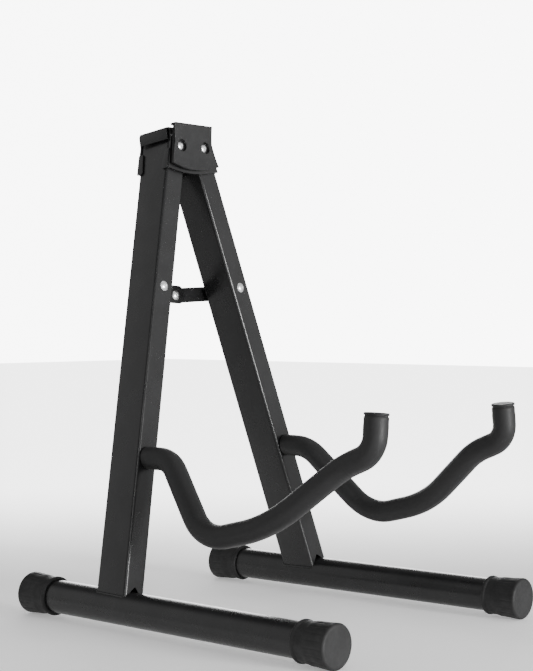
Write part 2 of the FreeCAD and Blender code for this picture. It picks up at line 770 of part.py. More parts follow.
def make_link():
    """Both straps, the leg rivets, the spacer behind the right leg and the centre rivet's halves."""
    parts = [make_left_strap(), make_right_strap()]
    shank, head, rise = S["link_shank_radius"], S["link_head_radius"], S["link_head_height"]
    backs = {-1: FRONT_STRAP + S["strap_sheet"], 1: STRAP_BACK}
    for name, side in SIDES:
        frame = leg_frame(side) * shift(0, 0, S["link_pin_along"].value)
        parts.append(make_rivet(name + "_link_rivet", frame, -HALF_DEPTH,
                                backs[side] + S["face_gap"], shank, head, rise))
    centre = strap_frame(-1) * shift(LINK_LENGTH, 0, 0)
    split = FRONT_STRAP + S["strap_sheet"]
    parts.append(make_rivet("centre_rivet_front", centre, FRONT_STRAP, split, shank, head, rise,
                            rear_head=False))
    parts.append(make_rivet("centre_rivet_rear", centre, REAR_STRAP, STRAP_BACK, shank, head, rise,
                            front_head=False))
    washer = new_body("right_link_spacer", leg_frame(1) * shift(0, 0, S["link_pin_along"].value))
    ring = new_sketch(washer, "XZ_Plane", "spacer_ring", -HALF_DEPTH)
    add_circle(ring, S["link_head_radius"] + S["spacer_lip"])
    add_circle(ring, shank + S["running_gap"])
    pad(washer, ring, REAR_STRAP - HALF_DEPTH - S["face_gap"], reverse=True)
    parts.append(washer)
    return parts


# ---------------------------------------------------------------- assembly and export

def make_parts():
    parts = [make_bracket(), make_bumper()]
    for name, side in SIDES:
        parts.append(make_leg(name, side))
        parts.append(make_foot_tube(name, side))
        parts.append(make_foot_cap(name, side, "front"))
        parts.append(make_foot_cap(name, side, "rear"))
        parts += make_arm(name, side)
        parts.append(make_hinge_rivet(name, side))
    return parts + make_link()


def check_document(parts):
    """Stop before anything is written if a feature failed or a sub-part isn't a sound solid."""
    for item in doc.Objects:
        if "Invalid" in item.State or "Error" in item.State:
            raise RuntimeError("%s failed: %s" % (item.Name, item.State))
    for item in parts:
        shape = item.Shape
        if shape.isNull() or not shape.isValid() or not shape.Solids:
            raise RuntimeError("%s is not a sound solid" % item.Label)


PARTS = make_parts()
doc.recompute()
check_document(PARTS)
os.makedirs("parts", exist_ok=True)
for item in PARTS:
    item.Shape.exportStep(os.path.join("parts", item.Label + ".step"))
print("wrote", len(PARTS), "sub-parts")
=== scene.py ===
"""The looks of a folding A-frame instrument stand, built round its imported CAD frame.

Lengths in this script are millimetres until a mesh is made. +X is right, +Y back, +Z up. Each piece
rides on the body of the CAD node that it replaces. The bumper's bosses are extra and replace nothing.
The arms' rods and the link's spacer are the CAD nodes themselves, with new materials.
"""
import math

import bmesh
import bpy
from mathutils import Matrix, Vector, noise


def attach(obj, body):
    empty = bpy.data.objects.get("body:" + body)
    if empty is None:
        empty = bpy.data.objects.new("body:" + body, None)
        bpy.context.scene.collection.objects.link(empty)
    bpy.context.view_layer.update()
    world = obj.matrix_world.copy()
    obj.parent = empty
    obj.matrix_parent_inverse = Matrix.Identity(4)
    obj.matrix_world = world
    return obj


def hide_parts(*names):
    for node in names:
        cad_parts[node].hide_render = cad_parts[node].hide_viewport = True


MM = 0.001

# The camera, the way it looks, the way to its right, and where a soft patch of light lies. Metres.
CAMERA_PLACE = (-0.9632, -0.8166, 0.2433)
CAMERA_YAW, CAMERA_PITCH, CAMERA_LENS = 49.269, -0.569, 82.87
VIEW_WAY = (math.sin(math.radians(CAMERA_YAW)), math.cos(math.radians(CAMERA_YAW)), 0.0)
CROSS_WAY = (VIEW_WAY[1], -VIEW_WAY[0], 0.0)
PATCH_WAY = tuple(Vector((-0.64, 0.65, 0.4)).normalized())

# posture, as in the CAD source
LEAN_ANGLE, SPLAY, TOE = 7.8, 15.35, 1.25
FOOT_HALF, LEG_FOOT_Y, FOOT_AXIS_Z = 117.5, 65.7, 16.8
TUBE_R, TUBE_WALL = 13.4, 1.2
FOOT_FRONT, FOOT_REAR, CAP_LENGTH = 223.5, 105.3, 32
LEG_HALF_WIDTH, LEG_HALF_DEPTH, LEG_ROUND, LEG_LENGTH = 10.5, 16.6, 2.5, 400
HINGE_ALONG, LINK_ALONG, ARM_ALONG = 389.5, 264.5, 119
SLEEVE_R = 9.2
FACE_GAP, PLATE_SHEET = 0.1, 2.0
PLATE_IN = LEG_HALF_DEPTH + FACE_GAP
PLATE_OUT = PLATE_IN + PLATE_SHEET
# how far out, forward and up each bend of an arm lies from where the arm leaves its leg, and its radius
ARM_BENDS = [(0, 0, 0), (0, 26, 0), (19, 80, -57.5), (16, 142, -42), (0, 198.5, 4.5),
             (0.5, 227.3, 16.5), (-2.5, 226.8, 42.8)]
ARM_RADII = [26, 36, 105, 60, 18]

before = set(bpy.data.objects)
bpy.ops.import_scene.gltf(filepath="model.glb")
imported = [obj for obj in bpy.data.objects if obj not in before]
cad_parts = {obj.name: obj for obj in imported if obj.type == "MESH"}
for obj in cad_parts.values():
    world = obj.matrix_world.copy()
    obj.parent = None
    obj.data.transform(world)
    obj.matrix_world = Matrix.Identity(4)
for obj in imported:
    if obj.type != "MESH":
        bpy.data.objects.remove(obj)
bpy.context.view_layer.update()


# ---------------------------------------------------------------- frames of reference

def turn(axis, degrees):
    """A rotation about one axis."""
    return Matrix.Rotation(math.radians(degrees), 4, axis)


def shift(x, y, z):
    """A movement without rotation."""
    return Matrix.Translation((x, y, z))


LEAN = shift(0, LEG_FOOT_Y, FOOT_AXIS_Z) @ turn("X", -LEAN_ANGLE)


def leg_frame(side):
    """Z up the leg from the foot tube's axis, Y from the leg's front face to its back."""
    return LEAN @ shift(side * FOOT_HALF, 0, 0) @ turn("Y", -side * SPLAY)


def foot_frame(side):
    """Z forward along the foot tube from where the leg stands on it."""
    return shift(side * FOOT_HALF, LEG_FOOT_Y, FOOT_AXIS_Z) @ turn("Z", side * TOE) @ turn("X", 90)


def pin_in_lean(along):
    """Where a place up a leg lies in the leaning plane: out from the middle, and up."""
    splay = math.radians(SPLAY)
    return FOOT_HALF - along * math.sin(splay), along * math.cos(splay)


PIN_X, PIN_Z = pin_in_lean(HINGE_ALONG)
LINK_X, LINK_Z = pin_in_lean(LINK_ALONG)
LINK_SAG = 2.4
LINK_LENGTH = math.hypot(LINK_X, LINK_SAG)


def strap_frame(side):
    """Origin on the leg's link pin, X along the strap to the right."""
    angle = side * math.degrees(math.atan2(LINK_SAG, LINK_X))
    return LEAN @ shift(side * LINK_X, 0, LINK_Z) @ turn("Y", -angle)


# ---------------------------------------------------------------- mesh makers

class Shell:
    """Points and faces gathered for one piece."""

    def __init__(self):
        self.points = []
        self.faces = []

    def add(self, points, faces, place):
        """Adds points and the faces between them, moved to a place."""
        start = len(self.points)
        self.points += [place @ Vector(p) for p in points]
        self.faces += [tuple(start + i for i in face) for face in faces]
        return self

    def loft(self, rings, place=Matrix.Identity(4), loop=False):
        """Quads between successive rings of equal size, closed at both ends or into a loop."""
        size = len(rings[0])
        faces = []
        last = len(rings) if loop else len(rings) - 1
        for i in range(last):
            a, b = i * size, (i + 1) % len(rings) * size
            for j in range(size):
                k = (j + 1) % size
                faces.append((a + j, a + k, b + k, b + j))
        if not loop:
            faces.append(tuple(range(size - 1, -1, -1)))
            faces.append(tuple(range((len(rings) - 1) * size, len(rings) * size)))
        return self.add([p for ring in rings for p in ring], faces, place)

    def lathe(self, profile, place, around=72, shape=None, loop=False):
        """Turns (radius, height) pairs about Z. shape(angle, radius, height) may change a radius."""
        rings = []
        for radius, height in profile:
            ring = []
            for j in range(around):
                a = 2 * math.pi * j / around
                r = shape(a, radius, height) if shape else radius
                ring.append((r * math.cos(a), r * math.sin(a), height))
            rings.append(ring)
        return self.loft(rings, place, loop=loop)

    def plate(self, outline, near, far, place):
        """An outline in X and Z, made solid from depth near to depth far."""
        return self.loft([[(x, near, z) for x, z in outline], [(x, far, z) for x, z in outline]], place)


def arc(centre, radius, start, end, steps):
    """Points on a circle in the plane, from one angle to another in degrees."""
    made = []
    for i in range(steps + 1):
        a = math.radians(start + (end - start) * i / steps)
        made.append((centre[0] + radius * math.cos(a), centre[1] + radius * math.sin(a)))
    return made


def three_point_arc(a, b, c, steps):
    """Points on the circle through three points of the plane, from a by way of b to c."""
    ax, ay, bx, by, cx, cy = *a, *b, *c
    d = 2 * (ax * (by - cy) + bx * (cy - ay) + cx * (ay - by))
    sa, sb, sc = ax * ax + ay * ay, bx * bx + by * by, cx * cx + cy * cy
    ux = (sa * (by - cy) + sb * (cy - ay) + sc * (ay - by)) / d
    uy = (sa * (cx - bx) + sb * (ax - cx) + sc * (bx - ax)) / d
    first, last = math.atan2(ay - uy, ax - ux), math.atan2(cy - uy, cx - ux)
    middle = math.atan2(by - uy, bx - ux)
    whole = (last - first) % (2 * math.pi)
    if (middle - first) % (2 * math.pi) > whole:
        whole -= 2 * math.pi
    radius = math.hypot(ax - ux, ay - uy)
    return [(ux + radius * math.cos(first + whole * i / steps),
             uy + radius * math.sin(first + whole * i / steps)) for i in range(steps + 1)]


def rounded_rectangle(half_x, half_y, radius, front_stops, steps=6):
    """Anticlockwise outline. front_stops are extra points along the side at -half_y."""
    outline = arc((half_x - radius, half_y - radius), radius, 0, 90, steps)
    outline += arc((radius - half_x, half_y - radius), radius, 90, 180, steps)
    outline += arc((radius - half_x, radius - half_y), radius, 180, 270, steps)
    outline += [(x, -half_y) for x in front_stops]
    outline += arc((half_x - radius, radius - half_y), radius, 270, 360, steps)
    return outline


def bent_path(corners, radii, step):
    """Points along straight runs joined by tangent arcs."""
    stops = [corners[0]]
    for before, corner, after, radius in zip(corners, corners[1:], corners[2:], radii):
        back, ahead = (before - corner).normalized(), (after - corner).normalized()
        turned = math.pi - back.angle(ahead)
        cut = radius * math.tan(turned / 2)
        bisector = (back + ahead).normalized()
        centre = corner + bisector * math.hypot(cut, radius)
        first, last = corner + back * cut - centre, corner + ahead * cut - centre
        count = max(6, int(radius * turned / step))
        for i in range(count + 1):
            share = i / count
            mixed = first * math.sin((1 - share) * turned) + last * math.sin(share * turned)
            stops.append(centre + mixed / math.sin(turned))
    stops.append(corners[-1])
    points = [stops[0]]
    for a, b in zip(stops, stops[1:]):
        count = max(1, int((b - a).length / step))
        points += [a.lerp(b, (i + 1) / count) for i in range(count)]
    return points


def sweep_rings(path, radius, around):
    """Rings along a path. radius(i, away) gives the distance from its point i in the way away."""
    count = len(path)
    rings = []
    normal = None
    for i, point in enumerate(path):
        before = path[i - 1] if i else point
        after = path[i + 1] if i < count - 1 else point
        tangent = (after - before).normalized()
        if normal is None:
            normal = tangent.orthogonal().normalized()
        normal = (normal - tangent * normal.dot(tangent)).normalized()
        other = tangent.cross(normal)
        ring = []
        for j in range(around):
            a = 2 * math.pi * j / around
            away = normal * math.cos(a) + other * math.sin(a)
            ring.append(point + away * radius(i, away))
        rings.append(ring)
    return rings


BEVEL_ANGLE, SHARP_ANGLE = math.radians(32), math.radians(38)
SAME_POINT = 1e-7


def build(name, shell, material, body, node, bevel=0.0, cutters=()):
    """Makes the piece in the scene on its body, in place of its CAD node if it has one."""
    mesh = bpy.data.meshes.new(name)
    mesh.from_pydata([tuple(p * MM) for p in shell.points], [], shell.faces)
    bm = bmesh.new()
    bm.from_mesh(mesh)
    bmesh.ops.remove_doubles(bm, verts=bm.verts, dist=SAME_POINT)
    bmesh.ops.recalc_face_normals(bm, faces=bm.faces)
    bm.to_mesh(mesh)
    bm.free()
    piece = bpy.data.objects.new(name, mesh)
    bpy.context.scene.collection.objects.link(piece)
    for cutter in cutters:
        tool = bpy.data.meshes.new("cutter")
        tool.from_pydata([tuple(p * MM) for p in cutter.points], [], cutter.faces)
        tool_object = bpy.data.objects.new("cutter", tool)
        bpy.context.scene.collection.objects.link(tool_object)
        cut = piece.modifiers.new("cut", "BOOLEAN")
        cut.operation, cut.solver, cut.object = "DIFFERENCE", "EXACT", tool_object
        settle(piece)
        bpy.data.objects.remove(tool_object)
    if bevel:
        soften = piece.modifiers.new("bevel", "BEVEL")
        soften.width, soften.segments = bevel * MM, 3
        soften.limit_method, soften.angle_limit = "ANGLE", BEVEL_ANGLE
        settle(piece)
    piece.data.shade_smooth()
    piece.data.set_sharp_from_angle(angle=SHARP_ANGLE)
    piece.data.materials.clear()
    piece.data.materials.append(material)
    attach(piece, body)
    if node:
        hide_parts(node)
    return piece


def settle(piece):
    """Applies a piece's modifiers to its mesh."""
    bpy.context.view_layer.update()
    graph = bpy.context.evaluated_depsgraph_get()
    made = bpy.data.meshes.new_from_object(piece.evaluated_get(graph))
    piece.modifiers.clear()
    piece.data = made


# ---------------------------------------------------------------- materials

class Nodes:
    """Builds one material's node tree."""

    def __init__(self, name, base, roughness, metallic=0.0, specular=0.5):
        self.material = bpy.data.materials.new(name)
        self.material.use_nodes = True
        self.tree = self.material.node_tree
        self.shader = next(n for n in self.tree.nodes if n.type == "BSDF_PRINCIPLED")
        self.shader.inputs["Base Color"].default_value = (*base, 1)
        self.shader.inputs["Roughness"].default_value = roughness
        self.shader.inputs["Metallic"].default_value = metallic
        self.shader.inputs["Specular IOR Level"].default_value = specular
        self.place = self.tree.nodes.new("ShaderNodeTexCoord").outputs["Object"]
        self.bump_end = None

    def link(self, output, target):
        """Joins an output to an input."""
        self.tree.links.new(output, target)

    def stretched(self, scale):
        """The object's own coordinates, scaled along each axis."""
        mapping = self.tree.nodes.new("ShaderNodeMapping")
        mapping.inputs["Scale"].default_value = scale
        self.link(self.place, mapping.inputs["Vector"])
        return mapping.outputs["Vector"]

    def noise(self, scale, detail=4.0, rough=0.55, place=None):
        """Soft noise between 0 and 1."""
        node = self.tree.nodes.new("ShaderNodeTexNoise")
        node.inputs["Scale"].default_value = scale
        node.inputs["Detail"].default_value = detail
        node.inputs["Roughness"].default_value = rough
        self.link(place or self.place, node.inputs["Vector"])
        return node.outputs["Fac"]

    def cells(self, scale):
        """Distance from the middle of the nearest cell."""
        node = self.tree.nodes.new("ShaderNodeTexVoronoi")
        node.inputs["Scale"].default_value = scale
        self.link(self.place, node.inputs["Vector"])
        return node.outputs["Distance"]

    def measured(self, way):
        """Distance from the camera's fixed place along a level direction."""
        node = self.tree.nodes.new("ShaderNodeVectorMath")
        node.operation = "DOT_PRODUCT"
        self.link(self.place, node.inputs[0])
        node.inputs[1].default_value = way
        return self.maths("SUBTRACT", node.outputs["Value"], Vector(way).dot(Vector(CAMERA_PLACE)))

    def maths(self, operation, first, second=None):
        """One sum on numbers or outputs."""
        node = self.tree.nodes.new("ShaderNodeMath")
        node.operation = operation
        for socket, value in zip(node.inputs, (first, second)):
            if isinstance(value, (int, float)):
                socket.default_value = value
            elif value is not None:
                self.link(value, socket)
        return node.outputs["Value"]

    def spread(self, value, low, high, start=0.3, end=0.7, smooth=False):
        """Maps a value from start..end to low..high."""
        node = self.tree.nodes.new("ShaderNodeMapRange")
        node.interpolation_type = "SMOOTHSTEP" if smooth else "LINEAR"
        for key, amount in (("From Min", start), ("From Max", end), ("To Min", low), ("To Max", high)):
            node.inputs[key].default_value = amount
        self.link(value, node.inputs["Value"])
        return node.outputs["Result"]

    def two_colours(self, value, dark, light, start=0.35, end=0.65):
        """Blends two colours as a value goes from start to end."""
        ramp = self.tree.nodes.new("ShaderNodeValToRGB")
        ramp.color_ramp.elements[0].position, ramp.color_ramp.elements[1].position = start, end
        ramp.color_ramp.elements[0].color = (*dark, 1)
        ramp.color_ramp.elements[1].color = (*light, 1)
        self.link(value, ramp.inputs["Fac"])
        return ramp.outputs["Color"]

    def bump(self, value, strength, distance):
        """Adds relief on top of any earlier relief. The distance is in millimetres."""
        node = self.tree.nodes.new("ShaderNodeBump")
        node.inputs["Strength"].default_value = strength
        node.inputs["Distance"].default_value = distance * MM
        self.link(value, node.inputs["Height"])
        if self.bump_end:
            self.link(self.bump_end, node.inputs["Normal"])
        self.bump_end = node.outputs["Normal"]

    def done(self, colour, roughness):
        """Joins colour, roughness and relief to the shader, and gives the material."""
        self.link(colour, self.shader.inputs["Base Color"])
        self.link(roughness, self.shader.inputs["Roughness"])
        self.link(self.bump_end, self.shader.inputs["Normal"])
        return self.material


def powder_coat():
    """Satin black powder coat over steel, with a faint orange peel."""
    n = Nodes("powder_coat", (0.012, 0.012, 0.0125), 0.4, specular=0.42)
    n.bump(n.noise(900, 3, 0.5), 0.28, 0.06)
    n.bump(n.noise(160, 2, 0.5), 0.2, 0.10)
    colour = n.two_colours(n.noise(45, 5), (0.0060, 0.0060, 0.0063), (0.0100, 0.0100, 0.0104))
    return n.done(colour, n.spread(n.noise(70, 6), 0.25, 0.33))


def moulded_plastic(name, dark, light):
    """Moulded plastic with a fine leathery grain, mottled between two tones."""
    n = Nodes(name, light, 0.5, specular=0.4)
    n.bump(n.cells(2300), 0.35, 0.07)
    n.bump(n.noise(420, 3), 0.2, 0.05)
    colour = n.two_colours(n.noise(120, 5), dark, light)
    return n.done(colour, n.spread(n.noise(300, 4), 0.46, 0.62))


def cap_rubber():
    """Matt moulded rubber, a little uneven."""
    n = Nodes("cap_rubber", (0.01, 0.01, 0.01), 0.6, specular=0.38)
    n.bump(n.noise(1500, 4, 0.6), 0.35, 0.07)
    n.bump(n.noise(90, 3), 0.25, 0.35)
    colour = n.two_colours(n.noise(75, 6), (0.0075, 0.0075, 0.0077), (0.0135, 0.0135, 0.0138))
    return n.done(colour, n.spread(n.noise(140, 5), 0.5, 0.72))


def sleeve_foam():
    """Closed-cell foam under a faint skin."""
    n = Nodes("sleeve_foam", (0.017, 0.017, 0.018), 0.62, specular=0.42)
    n.bump(n.cells(1500), 0.4, 0.12)
    n.bump(n.noise(2600, 5, 0.65), 0.35, 0.09)
    n.bump(n.noise(110, 3), 0.12, 0.2)
    n.shader.inputs["Sheen Weight"].default_value = 0.04
    n.shader.inputs["Sheen Roughness"].default_value = 0.45
    colour = n.two_colours(n.noise(420, 6), (0.0060, 0.0060, 0.0063), (0.0090, 0.0090, 0.0094))
    return n.done(colour, n.spread(n.noise(420, 5), 0.52, 0.62))


def bright_zinc():
    """Zinc plate on a rivet, slightly pitted."""
    n = Nodes("bright_zinc", (0.86, 0.86, 0.87), 0.25, metallic=1.0)
    n.bump(n.noise(1700, 4, 0.6), 0.3, 0.05)
    colour = n.two_colours(n.noise(900, 6), (0.8, 0.81, 0.82), (0.97, 0.97, 0.97))
    return n.done(colour, n.spread(n.noise(1200, 5), 0.2, 0.42))


def drawn_steel():
    """Plain drawn bar with a grain along it."""
    n = Nodes("drawn_steel", (0.42, 0.42, 0.43), 0.35, metallic=1.0)
    n.bump(n.noise(500, 5, 0.6, n.stretched((1, 0.06, 1))), 0.3, 0.04)
    colour = n.two_colours(n.noise(200, 6), (0.32, 0.32, 0.33), (0.5, 0.5, 0.51))
    return n.done(colour, n.spread(n.noise(300, 5), 0.28, 0.46))


def floor_with_painted_glow():
    """A white table that glows: a painted pool of light, emitted by the floor itself, that widens
    beyond the stand.
    """
    n = Nodes("floor_with_painted_glow", (0.86, 0.86, 0.86), 0.75, specular=0.1)
    n.bump(n.noise(220, 4), 0.05, 0.1)
    colour = n.two_colours(n.noise(2.5, 4), (0.855, 0.855, 0.855), (0.87, 0.87, 0.87))
    away, across = n.measured(VIEW_WAY), n.measured(CROSS_WAY)
    aside = n.maths("ABSOLUTE", n.maths("DIVIDE", across, away))
    pool = n.spread(away, 0.08, 1.0, start=1.4, end=2.3, smooth=True)
    sides = n.spread(aside, 1.0, 0.0, start=0.16, end=0.27, smooth=True)
    # Painted light: the floor itself glows in a pool, brightest beyond the stand and narrowed to a
    # wedge either side of the view.
    n.link(n.maths("MULTIPLY", n.maths("MULTIPLY", pool, sides), 3.6),
           n.shader.inputs["Emission Strength"])
    n.shader.inputs["Emission Color"].default_value = (1.0, 1.0, 1.0, 1)
    return n.done(colour, n.spread(n.noise(6, 3), 0.7, 0.82))


COAT = powder_coat()
BUMPER_PLASTIC = moulded_plastic("bumper_plastic", (0.0075, 0.0075, 0.0078), (0.0125, 0.0125, 0.0129))
TIP_PLASTIC = moulded_plastic("tip_plastic", (0.009, 0.009, 0.0094), (0.014, 0.014, 0.0145))
NYLON = moulded_plastic("spacer_nylon", (0.04, 0.04, 0.04), (0.055, 0.055, 0.055))
RUBBER = cap_rubber()
FOAM = sleeve_foam()
ZINC = bright_zinc()
STEEL = drawn_steel()


# ---------------------------------------------------------------- legs and feet

NOTCH_HALF_WIDTH, NOTCH_HEIGHT = 5.6, 4.4
# how far a leg's lower edge sinks into the foot tube
COPE_SINK = 0.25
WELD_HALF_GAP, WELD_STEP, WELD_RADIUS, WELD_END_RADIUS = 6.5, 0.9, 0.85, 0.2
LEG_STATIONS = 30, 60, 120, 180, 240, 300, 350, LEG_LENGTH - 0.4


def cope_height(side, x, y):
    """Height up the leg's own axis at which a line at x, y meets the foot tube."""
    to_leg = leg_frame(side).to_3x3().transposed()
    axis = to_leg @ (foot_frame(side).to_3x3() @ Vector((0, 0, 1)))
    across = Vector((x, y, 0))
    a = 1 - axis.z ** 2
    b = -2 * across.dot(axis) * axis.z
    c = across.length_squared - across.dot(axis) ** 2 - TUBE_R ** 2
    return (-b + math.sqrt(b * b - 4 * a * c)) / (2 * a)


def leg_foot(side, x, y):
    """The leg's lower edge: notched to the tube, with a small open peak in its front wall."""
    height = cope_height(side, x, y) - COPE_SINK
    if y < TUBE_WALL + 0.3 - LEG_HALF_DEPTH and abs(x) < NOTCH_HALF_WIDTH:
        height += NOTCH_HEIGHT * (1 - abs(x) / NOTCH_HALF_WIDTH)
    return height


def leg_piece(name, side):
    """The rectangular tube, open at both ends, with its weld bead."""
    stops = [-6.2, -NOTCH_HALF_WIDTH, -3.6, -1.8, 0, 1.8, 3.6, NOTCH_HALF_WIDTH, 6.2]
    outer = rounded_rectangle(LEG_HALF_WIDTH, LEG_HALF_DEPTH, LEG_ROUND, front_stops=stops)
    inner = rounded_rectangle(LEG_HALF_WIDTH - TUBE_WALL, LEG_HALF_DEPTH - TUBE_WALL,
                              LEG_ROUND - TUBE_WALL, front_stops=stops)
    foot = [(x, y, leg_foot(side, x, y)) for x, y in outer]
    rings = [foot] + [[(x, y, z) for x, y in outer] for z in LEG_STATIONS]
    rings += [[(x * 0.98, y * 0.985, LEG_LENGTH) for x, y in outer]]
    rings += [[(x, y, z) for x, y in inner] for z in (LEG_LENGTH, *LEG_STATIONS[-2::-1])]
    rings += [[(x, y, z) for (x, y), (_, _, z) in zip(inner, foot)]]
    shell = Shell().loft(rings, leg_frame(side), loop=True)
    weld_bead(shell, side, outer)
    build(name + "_leg_shell", shell, COAT, name + "_leg", name + "_leg_tube")


def weld_bead(shell, side, outline):
    """A lumpy bead round the leg's foot, left out along the middle of its front."""
    front = 0.4 - LEG_HALF_DEPTH
    welded = [(x, y) for x, y in outline if y > front or abs(x) > WELD_HALF_GAP]
    at_front = [i for i in range(len(welded)) if max(welded[i][1], welded[i - 1][1]) < front]
    first = max(at_front, key=lambda i: abs(welded[i][0] - welded[i - 1][0]))
    welded = welded[first:] + welded[:first]
    fine = []
    for (x0, y0), (x1, y1) in zip(welded, welded[1:]):
        count = max(1, int(math.hypot(x1 - x0, y1 - y0) / WELD_STEP))
        fine += [(x0 + (x1 - x0) * i / count, y0 + (y1 - y0) * i / count) for i in range(count)]
    path = [Vector((x, y, cope_height(side, x, y) + 0.1)) for x, y in fine]

    def radius(i, away):
        """Tapered at both ends, and rippled in between."""
        ends = min(1.0, i / 4, (len(path) - 1 - i) / 4)
        ripple = 0.04 * math.sin(i * 1.35) + 0.14 * noise.noise(path[i] * 0.2 + away * 0.3)
        return WELD_END_RADIUS + (WELD_RADIUS + ripple) * ends

    shell.loft(sweep_rings(path, radius, around=14), leg_frame(side))


CAP_WALL, FOOT_STEPS = 3, 24


def foot_piece(name, side):
    """The round foot tube, open at both ends inside its caps."""
    rear, front = CAP_WALL - FOOT_REAR, FOOT_FRONT - CAP_WALL
    heights = [rear + (front - rear) * i / FOOT_STEPS for i in range(FOOT_STEPS + 1)]
    profile = [(TUBE_R, z) for z in heights]
    profile += [(TUBE_R - TUBE_WALL, z) for z in heights[::-1]]
    shell = Shell().lathe(profile, foot_frame(side), around=96, loop=True)
    build(name + "_foot_shell", shell, COAT, name + "_leg", name + "_foot_tube")


CAP_END_R, CAP_END_ROUND = 16.8, 2.2
BEAD_MIDDLE_R, BEAD_ROUND = 14.4, 1.5
GROOVE_R, BAND_FROM = 15.2, 12
RIB_COUNT, RIB_DEPTH = 18, 0.36
# radius and height of the flare from the groove, over the band's step, to the closed end
CAP_FLARE = [(15.22, 4.6), (GROOVE_R, 6.5), (15.28, 9), (15.45, 11), (15.8, 12.4), (15.96, 13.6),
             (16.05, 17), (16.2, 21), (16.42, 24.5), (16.6, 27), (16.7, 29)]
# radius and depth of the shallow dish in the closed end
CAP_DISH = [(13.2, 0.05), (11.4, 0.3), (7.5, 0.42), (3, 0.45), (0.3, 0.45)]


def ribbed(angle, radius, height):
    """A cap's radius with its faint waves, and with ribs round its band."""
    if radius < GROOVE_R - 0.2 or height < BAND_FROM:
        return radius + 0.05 * math.sin(angle * 3 + height)
    fade_in, fade_out = (height - BAND_FROM) / 3, (CAP_LENGTH - 1.5 - height) / 3
    groove = max(0, math.cos(angle * RIB_COUNT)) ** 4
    return radius - RIB_DEPTH * groove * min(1, fade_in) * min(1, max(0, fade_out))


def cap_piece(name, side, end):
    """Rubber cap: bead round the open rim, a shallow groove, then a ribbed band and a dished end."""
    reach, facing = (FOOT_FRONT, 0) if end == "front" else (FOOT_REAR, 180)
    profile = [(TUBE_R - 0.3, 0.5), (TUBE_R + 0.6, 0), (14.6, 0)]
    profile += arc((BEAD_MIDDLE_R, 1.5), BEAD_ROUND, -60, 0, 6)
    profile += arc((BEAD_MIDDLE_R, 2.4), BEAD_ROUND, 0, 58, 6) + CAP_FLARE
    middle = CAP_END_R - CAP_END_ROUND, CAP_LENGTH - CAP_END_ROUND
    profile += arc(middle, CAP_END_ROUND, 8, 90, 9)
    profile += [(radius, CAP_LENGTH - depth) for radius, depth in CAP_DISH]
    place = foot_frame(side) @ turn("Y", facing) @ shift(0, 0, reach - CAP_LENGTH)
    shell = Shell().lathe(profile, place, around=180, shape=ribbed)
    build("%s_%s_cap" % (name, end), shell, RUBBER, name + "_leg",
          "%s_%s_foot_cap" % (name, end))


# ---------------------------------------------------------------- arms

def arm_path(side):
    """Points along the middle of one arm, from its leg's front face to its tip."""
    face = leg_frame(side) @ Vector((0, -LEG_HALF_DEPTH, ARM_ALONG))
    return bent_path([face + Vector((side * out, -ahead, up)) for out, ahead, up in ARM_BENDS],
                     ARM_RADII, step=1.1)


# depth of the foam's creases, and how far a bend strays from its chord where they are deepest
CREASE, TIGHT_BEND = 0.34, 0.55
# how far along the arm the foam's rings have turned square to it
ROOT_FADE = 14


def arm_pieces(name, side):
    """The foam sleeve, creased inside its tight bends, and the cap on its upturned tip."""
    path = arm_path(side)
    count = len(path)
    length = [0.0]
    for a, b in zip(path, path[1:]):
        length.append(length[-1] + (b - a).length)

    def smooth_bend(i):
        """Which way the path turns at a point, and how far it strays from a straight line there."""
        low, high = max(0, i - 6), min(count - 1, i + 6)
        return (path[low] + path[high]) / 2 - path[i]

    bends = [smooth_bend(i) for i in range(count)]

    def radius(i, away):
        """The foam's radius with its creases, its lumps and its rounded ends."""
        s, bend = length[i], bends[i]
        inside = max(0.0, away.dot(bend.normalized())) if bend.length > 0.02 else 0.0
        tight = min(1.0, bend.length / TIGHT_BEND)
        waves = 0.5 + 0.5 * math.sin(s * 1.9 + 3 * noise.noise(path[i] * 0.05))
        crease = CREASE * inside ** 2 * tight * waves
        fine = 0.05 * math.sin(s * 4.3 + side) * inside * tight
        squeeze = 0.12 * tight * (1 - inside)
        lumps = 0.12 * noise.noise(path[i] * 0.03 + away * 0.9)
        lumps += 0.04 * noise.noise(path[i] * 0.16 + away * 2.5 + Vector((side * 9, 0, 0)))
        edge = 0.0
        for from_end, soft in ((s, 1.4), (length[-1] - s, 0.9)):
            if from_end < soft:
                edge += soft - math.sqrt(max(0.0, soft ** 2 - (soft - from_end) ** 2))
        return SLEEVE_R + 0.05 - crease - fine - squeeze + lumps - edge

    rings = sweep_rings(path, radius, around=72)
    lay_root_flat(rings, path, length, side)
    sleeve = build(name + "_foam_sleeve", Shell().loft(rings), FOAM, name + "_leg",
                   name + "_arm_sleeve")
    tip_disc(name, path)


def lay_root_flat(rings, path, length, side):
    """Slides the first rings forward or back so that the sleeve starts flat on its leg's front face."""
    normal = (leg_frame(side).to_3x3() @ Vector((0, 1, 0))).normalized()
    forward = Vector((0, -1, 0))
    for i, ring in enumerate(rings):
        fade = 1 - length[i] / ROOT_FADE
        if fade <= 0:
            break
        for j, point in enumerate(ring):
            offset = (path[i] - point).dot(normal) / forward.dot(normal)
            ring[j] = point + forward * offset * fade


def tip_disc(name, path):
    """The cap on an arm's tip: a spigot in the foam under a disc with a soft rim."""
    up = (path[-1] - path[-2]).normalized()
    tip = Matrix.Translation(path[-1]) @ up.to_track_quat("Z", "Y").to_matrix().to_4x4()
    profile = [(0.2, -8), (2.9, -8), (2.9, -0.3), (8.4, -0.3), (8.5, 0.2), (9.1, 0.45), (9.35, 0.8)]
    profile += arc((8.55, 1.35), 0.8, -10, 80, 7) + [(7.4, 2.14), (4, 2.24), (0.2, 2.28)]
    build(name + "_tip_disc", Shell().lathe(profile, tip), TIP_PLASTIC, name + "_leg",
          name + "_arm_tip_cap")


# ---------------------------------------------------------------- hinge bracket and bumper

